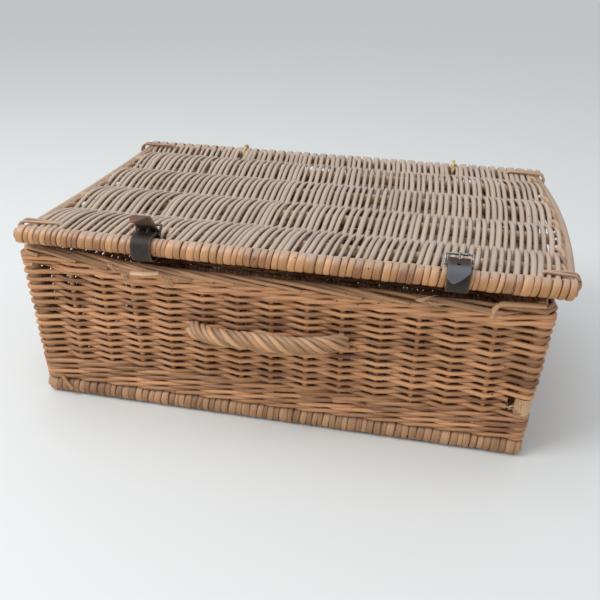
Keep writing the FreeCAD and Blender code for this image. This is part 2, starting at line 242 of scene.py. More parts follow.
def roll_wraps(low_x, high_x, axis, outer, widths, lean, swell=0.0, vee=0.0):
    """Turns of willow side by side round a thick stick. Each turn starts and ends towards the panel. swell
    is how much thicker the roll grows towards high_x, and vee how far neighbours lean apart."""
    y, z, inward = axis
    rods = []
    x = low_x
    while x < high_x:
        width = min(chance.triangular(*widths), high_x - x + 0.001)
        grown = outer + swell * max(0, (x - low_x) / (high_x - low_x) - 0.3) + chance.uniform(-6, 1) * 1e-4
        centre = grown - wrap_depth
        tilt = lean + chance.uniform(-5, 5) * 1e-4 + vee * (-1 if len(rods) % 2 else 1)
        rod = []
        for i in range(23):
            turn = math.radians(-15 + 390 * i / 22)
            rod.append((x + width / 2 + tilt * math.sin(turn), y + inward * centre * math.cos(turn),
                        z + centre * math.sin(turn), width * 0.49))
        rods.append(rod)
        x += width + (chance.uniform(0.0003, 0.0009) if chance.random() < 0.22 else 0)
    return rods


def panel_weavers(places, panel, lifts, rise, radii, bow, openings=(), slots=()):
    """Rods woven from the front roll to the back roll over and under the sticks between. lifts gives each
    kind of weaver its height at the two rolls. openings are (x, half width, from y, to y) that the weavers
    part for, and slots are (x, half width, depth) behind the front roll where they stop short. bow gives how
    far a weaver bends to the right in its middle."""
    sticks, middle_z = panel
    front, back = sticks[0], sticks[-1]
    rods = []
    for number, place in enumerate(places):
        kind = number % 2
        heights = [lifts[kind][0]] + [rise * (1 if (kind + i) % 2 else -1) for i in range(1, len(sticks) - 1)]
        heights.append(lifts[kind][1])
        thin, thick = sorted(chance.uniform(*radii) for _ in range(2))
        butt_first = chance.random() < 0.5
        sway, phase = chance.uniform(0, 7) * 1e-4, chance.uniform(0, 6.3)
        inset = max([0.0035] + [depth for x, half, depth in slots if abs(place - x) < half])
        by_slot = any(abs(place - x) < half + 0.0042 for x, half, depth in slots)
        rod = []
        steps = 8 * (len(sticks) - 1)
        for i in range(steps + 1):
            span = min(i // 8, len(sticks) - 2)
            within = i / 8 - span
            y = sticks[span] + (sticks[span + 1] - sticks[span]) * within
            share = (y - front) / (back - front)
            ease = (1 - math.cos(math.pi * within)) / 2
            height = heights[span] + (heights[span + 1] - heights[span]) * ease
            x = place + bow(place) * 4 * share * (1 - share) + sway * math.sin(phase + 7 * share)
            for centre, half, low_y, high_y in openings:
                reach = half + 0.0095
                off = x - centre
                if abs(off) < reach:
                    near = max(0, 1 - max(0, low_y - y, y - high_y) / 0.02)
                    near = near * near * (3 - 2 * near)
                    aside = half + abs(off) * (reach - half) / reach
                    x += near * (math.copysign(aside, off) - off)
            swell = share if butt_first else 1 - share
            sunk = 0.0060 * max(0, 1 - (y - front) / 0.05) if by_slot else 0
            rod.append((x, y, middle_z + height - sunk, thick + (thin - thick) * swell))
        while rod[1][1] < front + inset:
            rod.pop(0)
        rod[0] = (rod[0][0], front + inset, rod[0][2] - 0.0018, rod[0][3])
        rod[-1] = (rod[-1][0], back - 0.0035, rod[-1][2], rod[-1][3])
        rods.append(rod)
    return rods


base_colour = willow("base willow", (0.15, 0.066, 0.027), (0.43, 0.232, 0.112), (0.40, 0.31, 0.24), 0.35,
                     0.55)
stick_colour = willow("stick willow", (0.24, 0.115, 0.047), (0.53, 0.325, 0.165), (0.5, 0.4, 0.29), 0.5,
                      0.5, 0)

base_y = abs(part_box("base_outer_sticks")[0].y + 0.006)
base_z = 0.0095
base_half = 0.252
base_wraps = []
for side in (-1, 1):
    base_wraps += roll_wraps(-base_half, base_half, (side * base_y, base_z, -side), 0.0094,
                             (0.0042, 0.0105, 0.0062), 0.0008)
bend_rods("base_wraps", base_wraps, "basket", base_colour, 12, press=split_face)

base_sticks = [-base_y + i * base_y * 2 / 5 for i in range(6)]
base_places = np.linspace(-0.2525, 0.2525, 140)
base_rods = panel_weavers(base_places, (base_sticks, 0.006), ((0.002, 0.002), (0.002, 0.002)), 0.0039,
                          (0.0018, 0.0021), lambda place: 0.0)
bend_rods("base_weavers", base_rods, "basket", base_colour, 6, ["base_weave"])
for node in ("base_outer_sticks", "base_inner_sticks"):
    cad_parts[node].data.materials.clear()
    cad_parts[node].data.materials.append(stick_colour)
end_rod_colour = willow("end rod willow", (0.16, 0.08, 0.035), (0.42, 0.25, 0.13), (0.4, 0.3, 0.2), 0.3,
                        0.5, 1)
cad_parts["base_end_rods"].data.materials.clear()
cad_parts["base_end_rods"].data.materials.append(end_rod_colour)


# ---- Corner posts and stakes ----------------------------------------------------------------------------
# Four stout posts stand in the corners of the base, and thinner stakes stand between them, thirteen in each
# long wall and eight in each end wall. They lean outwards, so the hamper is wider at the top.

post_inset, post_radius, stake_radius, stake_pitch = 0.0035, 0.0065, 0.003, 0.0353
post_colour = willow("post willow", (0.19, 0.08, 0.032), (0.52, 0.28, 0.135), (0.46, 0.34, 0.25), 0.2,
                     0.55, 2)
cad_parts["corner_posts"].data.materials.clear()
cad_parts["corner_posts"].data.materials.append(post_colour)
wall_colour = willow("wall willow", (0.155, 0.055, 0.018), (0.53, 0.258, 0.11), (0.46, 0.32, 0.22), 0.3, 0.48)


def half_depth(z):
    """Distance from the middle to the front and back walls' middle line, at height z."""
    return 0.1586 + (z - 0.0095) * 0.0061 / 0.1575


def half_length(z):
    """Distance from the middle to the end walls' middle line, at height z."""
    return 0.2495 + (z - 0.0095) * 0.0070 / 0.1575


def stake_places(count):
    """Places of a wall's stakes along it, nearly even, as a maker sets them by eye."""
    return [(i - (count - 1) / 2) * stake_pitch + chance.uniform(-16, 16) * 1e-4 for i in range(count)]


wall_stakes = [stake_places(count) for count in (13, 8, 13, 8)]
headings = [Vector((1, 0, 0)), Vector((0, 1, 0)), Vector((-1, 0, 0)), Vector((0, -1, 0))]


def sprung(wall, along):
    """How much higher the rim stands than its even line. It has sprung up at the front left corner."""
    if wall == 0:
        sunk = max(0, min(1, (along + 0.21) / 0.08)) * max(0, min(1, (0.25 - along) / 0.03))
        return 0.0072 * max(0, min(1, (-along - 0.06) / 0.17)) ** 2.5 - 0.003 * sunk
    if wall == 3:
        return 0.0072 * max(0, min(1, (along + 0.02) / 0.15)) ** 1.3
    return 0.0


def on_wall(wall, along, z, out=0.0):
    """A place on wall 0 front, 1 right, 2 back or 3 left, along it from its middle, and out from its line."""
    heading = headings[wall]
    outward = Vector((heading.y, -heading.x, 0))
    reach = half_depth(z) if wall % 2 == 0 else half_length(z)
    lifted = z + sprung(wall, along) * max(0, (z - 0.08) / 0.09) ** 1.5
    return heading * along + outward * (reach + out) + Vector((0, 0, lifted))


stake_rods = []
for wall, places in enumerate(wall_stakes):
    for along in places:
        lean, thick = chance.uniform(-1, 1) * 0.0012, chance.uniform(0.0027, 0.0033)
        rod = []
        for i in range(10):
            z = 0.0196 + i * (0.158 - 0.0196) / 9
            place = on_wall(wall, along + lean * math.sin(i * 0.7), z)
            rod.append((*place, thick - 0.0003 * i / 9))
        stake_rods.append(rod)
bend_rods("stakes", stake_rods, "basket", wall_colour, 8,
          ["front_stakes", "back_stakes", "left_stakes", "right_stakes"])


# ---- Waling and wall weaving ----------------------------------------------------------------------------
# Four rounds of three-rod waling lock the stakes at the foot: each rod passes outside two stakes and inside
# one. Twenty-six rows of single rods then weave in and out, and two rounds of waling close the walls. A
# station is one of the 42 stakes and 4 posts that a rod passes on its way round.

station_count = 46
stake_press, post_press = 0.0012, 0.0004


def wall_walk(z):
    """The wall's line at height z, once round from the front left post: places, outward directions and
    distances, with the distance and kind of every stake and post on the way."""
    places, outward, stations = [], [], []
    walked = 0.0
    for wall in range(4):
        run = 2 * ((half_length(z) if wall % 2 == 0 else half_depth(z)) - post_inset)
        stations += [(walked + run / 2 + along, "stake") for along in wall_stakes[wall]]
        steps = round(run / 0.0048)
        for i in range(steps + 1):
            places.append(on_wall(wall, -run / 2 + run * i / steps, z))
            outward.append(Vector((headings[wall].y, -headings[wall].x, 0)))
        walked += run
        centre = places[-1] - outward[-1] * post_inset
        stations.append((walked + post_inset * math.pi / 4, "post"))
        for i in range(1, 6):
            turned = Matrix.Rotation(math.radians(15 * i), 3, "Z") @ outward[-i]
            places.append(centre + turned * post_inset)
            outward.append(turned)
        walked += post_inset * math.pi / 2
    places, outward = np.array(places), np.array(outward)
    steps = np.linalg.norm(np.diff(places, axis=0), axis=1)
    return places, outward, np.r_[0, np.cumsum(steps)] * walked / (steps.sum() + post_inset * math.pi / 12), \
        stations, walked


def weave_round(z, sides_of, radius, start, count, lift=None):
    """One rod woven along the walls at height z from station start over count stations. sides_of says for
    each station whether the rod passes outside (1) or inside (-1), and lift how high it lies there."""
    places, outward, walk, stations, full = wall_walk(z)
    total = len(stations)
    marks, offsets, lifts = [], [], []
    for i in range(start - 1, start + count + 2):
        distance, kind = stations[i % total]
        side = sides_of(i)
        if kind == "stake":
            offset = side * (stake_radius + radius - stake_press)
        else:
            offset = side * (post_radius + radius - post_press) - post_inset
        marks.append(distance + full * (i // total))
        offsets.append(offset)
        lifts.append(lift(i) if lift else 0.0)
    rod = []
    low, high = marks[1] - 0.008, marks[-2] + 0.008
    for lap in range(int(low // full), int(high // full) + 1):
        for place, out, distance in zip(places, outward, walk):
            s = distance + lap * full
            if not low <= s <= high:
                continue
            i = min(max(np.searchsorted(marks, s) - 1, 0), len(marks) - 2)
            share = (s - marks[i]) / (marks[i + 1] - marks[i])
            ease = 0.9 * share + 0.1 * (1 - math.cos(math.pi * share)) / 2
            offset = offsets[i] + (offsets[i + 1] - offsets[i]) * ease
            level = lifts[i] + (lifts[i + 1] - lifts[i]) * share + undulate(s % full, z)
            taper = 1.1 - 0.22 * (s - low) / (high - low)
            spot = place + out * offset
            rod.append((spot[0], spot[1], spot[2] + level, radius * taper))
    return rod


waves = [(chance.uniform(25, 75), chance.uniform(0, 6.3), chance.uniform(0.2, 0.45)) for _ in range(4)]


def undulate(s, z):
    """The slight rise and fall of the rows, which old walls show."""
    share = math.sin(math.pi * min(max((z - 0.03) / 0.13, 0), 1))
    return 0.001 * share * sum(height * math.sin(rate * s + phase) for rate, phase, height in waves)


row_rods = []
low_row, high_row, row_count, row_dip = 0.0455, 0.1505, 26, 0.0008
for row in range(row_count):
    z = low_row + (row + 0.5) * (high_row - low_row) / row_count
    start = chance.randrange(station_count)
    inside_first = start + (start + row) % 2
    cuts = [inside_first, inside_first + 2 * chance.randint(6, 9), inside_first + 2 * chance.randint(14, 17),
            inside_first + station_count]
    for first, last in zip(cuts, cuts[1:]):
        radius = chance.uniform(0.0022, 0.0026)
        woven = weave_round(z + chance.uniform(-2, 2) * 1e-4, lambda i: 1 if (i + row) % 2 else -1, radius,
                            first, last - first, lambda i: -row_dip if (i + row) % 2 else row_dip)
        kept = []
        for spot in woven:
            worn_away = spot[1] < -0.147 and abs(spot[0] - 0.251 - chance.uniform(-3, 3) * 1e-3) < 0.015
            if worn_away and 0.0490 < spot[2] < 0.0650:
                if len(kept) > 2:
                    row_rods.append(kept)
                kept = []
            else:
                kept.append(spot)
        if len(kept) > 2:
            row_rods.append(kept)
bend_rods("wall_weavers", row_rods, "basket", wall_colour, 8,
          ["front_weave", "back_weave", "left_weave", "right_weave"])


def wale(name, low, high, rounds, radius, nodes):
    """Rounds of three-rod waling between two heights."""
    rods = []
    pitch = (high - low) / rounds
    for turn in range(rounds):
        z = low + (turn + 0.5) * pitch
        first = chance.randrange(station_count)
        for strand in range(3):
            rods.append(weave_round(z, lambda i: -1 if (i - strand) % 3 == 2 else 1, radius, first + strand,
                                    station_count - 1,
                                    lambda i: ((-0.28, 0.28, 0.05)[(i - strand) % 3]) * pitch))
    return bend_rods(name, rods, "basket", wall_colour, 8, nodes)


wale("bottom_waling", 0.0188, 0.0458, 4, 0.0024, ["bottom_wale"])
wale("top_waling", 0.1495, 0.1625, 2, 0.0023, ["top_wale"])


# ---- Border ---------------------------------------------------------------------------------------------
# At the top each stake is bent to the right and laid behind, over and down in front of its neighbours, so
# the bent stakes make a rolled rim. The old rim is dry: many ends are snapped and stand out.

border_colour = willow("border willow", (0.18, 0.075, 0.029), (0.52, 0.275, 0.13), (0.46, 0.34, 0.25), 0.35,
                       0.5)


def around_rim(wall, along, z, out):
    """A place by the rim that carries on round the corner when it runs past the end of its wall."""
    end = (half_length(z) if wall % 2 == 0 else half_depth(z)) - post_inset
    while along > end:
        wall, along = (wall + 1) % 4, along - end
        other = (half_length(z) if wall % 2 == 0 else half_depth(z)) - post_inset
        along, end = along - other, other
    return on_wall(wall, along, z, out)


rim_z = 0.1645
border_rods = []
for wall, places in enumerate(wall_stakes):
    end = (half_length(rim_z) if wall % 2 == 0 else half_depth(rim_z)) - post_inset
    for along in [-end] + places + [-end + 0.012, -end + 0.022, end - 0.015]:
        reach = chance.uniform(3.8, 5.2) * stake_pitch
        thick = chance.uniform(0.0023, 0.0028)
        last = chance.uniform(192, 214)
        depth, height = chance.uniform(44, 54) * 1e-4, chance.uniform(38, 47) * 1e-4
        first, phase = chance.uniform(-95, -60), chance.uniform(0, 6.3)
        rod = []
        for i in range(26):
            share = i / 25
            angle = math.radians(first + (last - first) * share ** 0.8)
            ring = 1 + 0.12 * math.sin(i * 0.42 + phase) + max(0, share - 0.9) * 2.5
            out = -depth * ring * math.cos(angle) * (1 if share > 0.06 else 0.3)
            z = rim_z - 0.0008 + height * ring * math.sin(angle)
            z -= 0.006 * (1 - share / 0.08) if share < 0.08 else 0
            place = around_rim(wall, along + reach * max(0, share - 0.03), z, out)
            rod.append((*place, thick * (1.05 - 0.3 * share)))
        border_rods.append(rod)
bend_rods("border_rods", border_rods, "basket", border_colour, 8, ["border"])


def splinters(wall, along, z, heading, count, length):
    """Torn fibres of a snapped rod, fanned out from one place on the outside of a wall."""
    turn = Matrix((headings[wall], (-headings[wall].y, headings[wall].x, 0), (0, 0, 1))).transposed()
    rods = []
    for _ in range(count):
        stray = Vector([chance.gauss(0, 0.28) for _ in range(3)])
        way = turn @ (Vector(heading) + stray).normalized()
        bend = Vector([chance.gauss(0, 0.25) for _ in range(3)])
        start = on_wall(wall, along + chance.gauss(0, 0.0014), z + chance.gauss(0, 0.0012), 0.0058)
        full, thick = length * chance.uniform(0.4, 1), chance.uniform(2, 8) * 1e-4
        rods.append([(*(start + (way + bend * i / 3) * (full * i / 3)), thick * (1 - 0.28 * i))
                     for i in range(4)])
    return rods


def stray_rod(wall, places, thick):
    """A rod that has come out of its place, through (along, z, out) places on a wall."""
    line = [on_wall(wall, *place) for place in places]
    rod = []
    for i in range(4 * (len(line) - 1) + 1):
        span = min(i // 4, len(line) - 2)
        rod.append((*line[span].lerp(line[span + 1], i / 4 - span), thick))
    return rod


torn_colour = willow("torn willow", (0.36, 0.19, 0.09), (0.66, 0.43, 0.24), (0.6, 0.48, 0.36), 0.3, 0.6)
torn = splinters(0, -0.162, 0.1665, (0.9, -0.3, -0.3), 16, 0.014)
torn += splinters(0, -0.151, 0.1585, (0.9, -0.3, -0.4), 18, 0.015)
torn += splinters(0, -0.140, 0.1620, (-0.9, -0.3, -0.2), 12, 0.012)
torn += splinters(0, -0.103, 0.1600, (0.4, -0.4, -1.0), 16, 0.013)
torn += splinters(0, 0.138, 0.1670, (0.9, -0.2, 0.2), 14, 0.016)
torn += splinters(0, 0.149, 0.1650, (0.9, -0.3, -0.2), 12, 0.014)
torn += splinters(0, 0.247, 0.0650, (-0.2, -0.1, -1.0), 14, 0.012)
torn += splinters(0, 0.247, 0.0500, (-0.9, -0.2, 0.1), 12, 0.012)
torn += splinters(0, 0.234, 0.0580, (0.9, -0.1, 0.4), 8, 0.009)
bend_rods("torn_ends", torn, "basket", torn_colour, 6)
stubs = [
    stray_rod(0, [(-0.141, 0.1612, 0.0062), (-0.127, 0.1632, 0.0075), (-0.112, 0.1652, 0.0050)], 0.0024),
    stray_rod(0, [(0.2485, 0.0470, -0.0022), (0.2490, 0.0675, -0.0022)], 0.0078),
    stray_rod(0, [(0.2497, 0.1560, -0.0035), (0.2500, 0.1690, -0.0032)], 0.0060),
]
bend_rods("snapped_stubs", stubs, "basket", torn_colour, 10)
strays = [
    stray_rod(0, [(0.206, 0.1560, 0.0045), (0.207, 0.1655, 0.0050), (0.2095, 0.1705, 0.0052),
                  (0.214, 0.1728, 0.0050), (0.229, 0.1722, 0.0042), (0.251, 0.1700, 0.0020)], 0.0027),
    stray_rod(0, [(-0.236, 0.0230, 0.0070), (-0.230, 0.0150, 0.0090), (-0.224, 0.0085, 0.0100)], 0.0022),
]
bend_rods("stray_rods", strays, "basket", border_colour, 8)


# ---- Handle ---------------------------------------------------------------------------------------------
# A bow of thick willow is pushed through the front wall at both ends, and six thinner rods are roped round
# it. It has dried and droops a little, and it hangs lower at its left end.

handle_colour = willow("handle willow", (0.16, 0.072, 0.028), (0.56, 0.30, 0.138), (0.47, 0.38, 0.31), 0.45,
                       0.5)
handle_left, handle_right, handle_z, stand_out = -0.079, 0.0725, 0.110, 0.0195
droop = math.radians(2)


def handle_line(share):
    """A place on the bow's centre line, share 0 at its left end and 1 at its right."""
    out = stand_out * (1 - abs(2 * share - 1) ** 3.2)
    wall = -half_depth(handle_z) - 0.0055
    sag = 0.006 * max(0, 1 - share / 0.35)
    return Vector((handle_left + (handle_right - handle_left) * share, wall - out * math.cos(droop),
                   handle_z - sag - out * math.sin(droop)))


bow_line = [handle_line(i / 40) for i in range(41)]
bow_line = [bow_line[0] + Vector((0.002, 0.010, 0))] + bow_line + [bow_line[-1] + Vector((-0.002, 0.010, 0))]
bend_rods("handle_bow", [[(*place, 0.0042) for place in bow_line]], "basket", handle_colour,
          10, ["handle_core"])
bow_length, lay = 0.172, 0.054
handle_rods = []
for strand in range(6):
    thick, ring = chance.uniform(0.0027, 0.0031), 0.0060
    rod = []
    for i in range(130):
        share = -0.01 + 1.02 * i / 129
        place = handle_line(share)
        onward = (handle_line(share + 0.01) - handle_line(share - 0.01)).normalized()
        aside = onward.cross(Vector((0, 0, 1))).normalized()
        above = aside.cross(onward)
        angle = -(share * bow_length / lay) * 2 * math.pi + strand * math.pi / 3 + 0.12 * (strand % 2)
        spot = place + (aside * math.cos(angle) + above * math.sin(angle)) * ring
        rod.append((*spot, thick * (1 + 0.05 * math.sin(9 * share + strand))))
    handle_rods.append(rod)
bend_rods("handle_rods", handle_rods, "basket", handle_colour, 10, ["handle_rope"])


# ---- Hinge loops ----------------------------------------------------------------------------------------
# Two rings of thin twisted willow go round the back roll of the lid and down through the back border, and
# the lid turns in them.

loop_colour = willow("loop willow", (0.36, 0.22, 0.08), (0.72, 0.56, 0.3), (0.6, 0.5, 0.36), 0.3, 0.45)
lid_low, lid_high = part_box("lid_back_stick")
lid_z = (lid_low.z + lid_high.z) / 2
back_y = (lid_low.y + lid_high.y) / 2


def loop_rods(centre_a, centre_b, across, ring, spread, thick, turns):
    """Two strands along a closed long ring round two centres, side by side or twisted round each other.
    spread is how far each strand lies from the ring's line at each centre."""
    along = (centre_b - centre_a).normalized()
    straight = (centre_b - centre_a).length
    total = 2 * straight + 2 * math.pi * ring
    side = across.cross(along)
    rods = []
    for strand in range(2):
        rod = []
        for i in range(111):
            walk = (i / 110) * total
            if walk < straight:
                place, out = centre_a + along * walk + side * ring, side
            elif walk < straight + math.pi * ring:
                turn = (walk - straight) / ring
                out = side * math.cos(turn) + along * math.sin(turn)
                place = centre_b + out * ring
            elif walk < 2 * straight + math.pi * ring:
                place, out = centre_b - along * (walk - straight - math.pi * ring) - side * ring, -side
            else:
                turn = (walk - 2 * straight - math.pi * ring) / ring
                out = -side * math.cos(turn) - along * math.sin(turn)
                place = centre_a + out * ring
            twist = 2 * math.pi * turns * i / 110 + math.pi * (strand + 0.5)
            share = max(0, min(1, (place - centre_a).dot(along) / straight))
            apart = spread[0] + (spread[1] - spread[0]) * share
            spot = place + (out * math.cos(twist) + across * math.sin(twist)) * apart
            rod.append((*spot, thick))
        rods.append(rod)
    return rods


for name in ("left_hinge_loop", "right_hinge_loop"):
    low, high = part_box(name)
    middle_x = (low.x + high.x) / 2
    rods = loop_rods(Vector((middle_x, back_y, 0.158)), Vector((middle_x, back_y, lid_z)), Vector((1, 0, 0)),
                     0.0116, (0.0011, 0.0011), 0.0012, 9)
    bend_rods(name + "_strands", rods, "basket", loop_colour, 8, [name])


# ---- Lid ------------------------------------------------------------------------------------------------
# The lid is made like the base: thick sticks along its front and back, four thinner ones between, and
# a hundred and forty rods woven across them. Its ends are closed by a stout rod with a twisted pair.

lid_colour = willow("lid willow", (0.17, 0.092, 0.048), (0.45, 0.31, 0.205), (0.50, 0.415, 0.345), 0.95, 0.5)
roll_colour = willow("roll willow", (0.22, 0.084, 0.029), (0.52, 0.262, 0.108), (0.48, 0.38, 0.31), 0.75,
                     0.32)
edge_colour = willow("edge willow", (0.17, 0.085, 0.04), (0.42, 0.26, 0.15), (0.46, 0.37, 0.3), 0.5, 0.5)
front_y = (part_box("lid_front_stick")[0].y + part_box("lid_front_stick")[1].y) / 2
lid_mid_x, lid_half = 0.008, 0.264
lid_sticks = [front_y, -0.137, -0.057, 0.020, 0.097, back_y]
strap_places = [-0.122, 0.171]
loop_places = [-0.116, 0.163]
openings = [(x, 0.0046, back_y - 0.022, back_y) for x in loop_places]
slots = [(x, 0.0140, 0.0215) for x in strap_places]


def lid_bow(place):
    """How far the lid's weavers and edge rods have bent to the right in their middle."""
    return 0.0075 + 0.0035 * (place - lid_mid_x) / lid_half


lid_places = []
x = lid_mid_x - lid_half + 0.0150
while x < lid_mid_x + lid_half - 0.0145:
    lid_places += [x, x + chance.uniform(0.003, 0.0040)]
    x += chance.triangular(0.0054, 0.0090, 0.0071)
lid_rods = panel_weavers(lid_places, (lid_sticks, lid_z), ((0.0052, 0.0056), (0.0052, -0.0045)), 0.0068,
                         (0.0016, 0.0028), lid_bow, openings, slots)
bend_rods("lid_weavers", lid_rods, "lid", lid_colour, 8, ["lid_weave"], lie_flat)

wrap_low, wrap_high = lid_mid_x - 0.261, lid_mid_x + 0.261
front_wraps = roll_wraps(wrap_low, wrap_high, (front_y, lid_z, 1), 0.0093, (0.0034, 0.0098, 0.0058), 0.0012,
                         0.0004)
bend_rods("lid_front_wraps", front_wraps, "lid", roll_colour, 12, ["lid_weave"], split_face)
back_wraps = roll_wraps(wrap_low, wrap_high, (back_y, lid_z, -1), 0.0090, (0.0040, 0.0080, 0.0056), 0.0004,
                        0.0, 0.0018)
bend_rods("lid_back_wraps", back_wraps, "lid", lid_colour, 12, ["lid_weave"], split_face)
stick_top = willow("lid stick willow", (0.22, 0.108, 0.046), (0.52, 0.335, 0.18), (0.5, 0.41, 0.31), 0.5,
                   0.5, 0)
for node in ("lid_front_stick", "lid_back_stick", "lid_inner_sticks"):
    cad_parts[node].data.materials.clear()
    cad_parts[node].data.materials.append(stick_top)

for side, name in ((-1, "left"), (1, "right")):
    edge_x = lid_mid_x + side * (lid_half - 0.0045)
    rods = []
    rod = []
    for i in range(26):
        share = i / 25
        y = front_y + 0.0105 + share * (back_y - front_y - 0.021)
        rod.append((edge_x + lid_bow(edge_x) * 4 * share * (1 - share), y,
                    lid_z + 0.001 * math.sin(2.4 * share), 0.0044 - 0.0008 * share))
    rods.append(rod)
    for strand in range(2):
        rod = []
        for i in range(110):
            share = i / 109
            y = front_y + 0.011 + share * (back_y - front_y - 0.022)
            twist = side * 2 * math.pi * 8 * share + math.pi * strand
            bent = edge_x - side * 0.0074 + lid_bow(edge_x) * 4 * share * (1 - share)
            rod.append((bent + 0.0031 * math.cos(twist), y, lid_z + 0.0036 * math.sin(twist), 0.0025))
        rods.append(rod)
    bend_rods(f"lid_{name}_edge", rods, "lid", edge_colour, 8, [f"lid_{name}_edge_rod"])


# ---- Corner ties ----------------------------------------------------------------------------------------
# A thin rod is looped round the edge rod near each corner and tucked into the weave, to hold the end on.

tie_colour = willow("tie willow", (0.2, 0.1, 0.048), (0.46, 0.28, 0.16), (0.47, 0.38, 0.31), 0.6, 0.5)
for name in ("front_left_tie", "front_right_tie", "back_left_tie", "back_right_tie"):
    low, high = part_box(name)
    side = -1 if "left" in name else 1
    y = (low.y + high.y) / 2
    edge = Vector((lid_mid_x + side * (lid_half - 0.0045), y, lid_z))
    inner = edge - Vector((side * (0.020 if name == "front_right_tie" else 0.032), 0, 0))
    rods = loop_rods(inner, edge, Vector((0, 1, 0)), 0.0086, (0.0010, 0.0034), 0.0015, 0)
    bend_rods(name + "_rods", rods, "lid", tie_colour, 8, [name])


# ---- Straps ---------------------------------------------------------------------------------------------
# Each strap is a band of dark leather round the front roll, up through the weave, and through its buckle.
# The left one's end stands up in a curl, the right one's pointed end lies down over the front.

def leather(name):
    """Old dark leather: fine grain, a painted grey sky reflection on the flat, brown where edges and folds
    have worn.
    """
    material = bpy.data.materials.new(name)
    material.use_nodes = True
    tree = material.node_tree
    shader = tree.nodes["Principled BSDF"]
    place = tree.nodes.new("ShaderNodeTexCoord").outputs["Object"]

    def texture(kind, scale, detail=2):
        made = tree.nodes.new(kind)
        made.inputs["Scale"].default_value = scale
        if "Detail" in made.inputs:
            made.inputs["Detail"].default_value = detail
        tree.links.new(place, made.inputs["Vector"])
        return made

    def blend(share, first, second):
        made = tree.nodes.new("ShaderNodeMix")
        made.data_type = "RGBA"
        for key, value in ((0, share), (6, first), (7, second)):
            if isinstance(value, tuple):
                made.inputs[key].default_value = (*value, 1)
            else:
                tree.links.new(value, made.inputs[key])
        return made.outputs[2]

    cloud = texture("ShaderNodeTexNoise", 160, 3).outputs["Fac"]
    grain = texture("ShaderNodeTexVoronoi", 1500).outputs["Distance"]
    scuff = texture("ShaderNodeTexNoise", 700, 5).outputs["Fac"]
    wear = tree.nodes.new("ShaderNodeAttribute")
    wear.attribute_name = "wear"
    worn = tree.nodes.new("ShaderNodeMath")
    worn.operation = "MULTIPLY"
    tree.links.new(wear.outputs["Fac"], worn.inputs[0])
    tree.links.new(scuff, worn.inputs[1])
    body = blend(cloud, (0.012, 0.0085, 0.007), (0.04, 0.028, 0.022))
    body = blend(worn.outputs[0], body, (0.24, 0.12, 0.06))
    painted_sky_reflection = tree.nodes.new("ShaderNodeAttribute")
    painted_sky_reflection.attribute_name = "painted_sky_reflection"
    # Painted reflection: a grey-blue sky reflection is painted into the colour near the strap's tip.
    body = blend(painted_sky_reflection.outputs["Fac"], body, (0.12, 0.13, 0.15))
    tree.links.new(body, shader.inputs["Base Color"])
    shader.inputs["Roughness"].default_value = 0.5
    shader.inputs["Specular IOR Level"].default_value = 0.35
    relief = tree.nodes.new("ShaderNodeBump")
    relief.inputs["Strength"].default_value = 0.35
    relief.inputs["Distance"].default_value = 0.0003
    total = tree.nodes.new("ShaderNodeMath")
    tree.links.new(grain, total.inputs[0])
    tree.links.new(cloud, total.inputs[1])
    tree.links.new(total.outputs[0], relief.inputs["Height"])
    tree.links.new(relief.outputs[0], shader.inputs["Normal"])
    return material


def rounded_line(corners, radii, step):
    """A centre line through corners, each turned with its own radius, as evenly spaced places."""
    line = [Vector(corners[0])]
    for i, radius in enumerate(radii, start=1):
        corner = Vector(corners[i])
        back = (Vector(corners[i - 1]) - corner).normalized()
        onward = (Vector(corners[i + 1]) - corner).normalized()
        half = back.angle(onward) / 2
        centre = corner + (back + onward).normalized() * (radius / math.sin(half))
        first = corner + back * (radius / math.tan(half)) - centre
        last = corner + onward * (radius / math.tan(half)) - centre
        sweep = first.angle_signed(last)
        for j in range(13):
            line.append(centre + Matrix.Rotation(-sweep * j / 12, 2) @ first)
    line.append(Vector(corners[-1]))
    points = np.array([tuple(p) for p in line])
    walk = np.r_[0, np.cumsum(np.linalg.norm(np.diff(points, axis=0), axis=1))]
    even = np.linspace(0, walk[-1], round(walk[-1] / step) + 1)
    return np.column_stack([np.interp(even, walk, points[:, k]) for k in range(2)]), walk[-1]


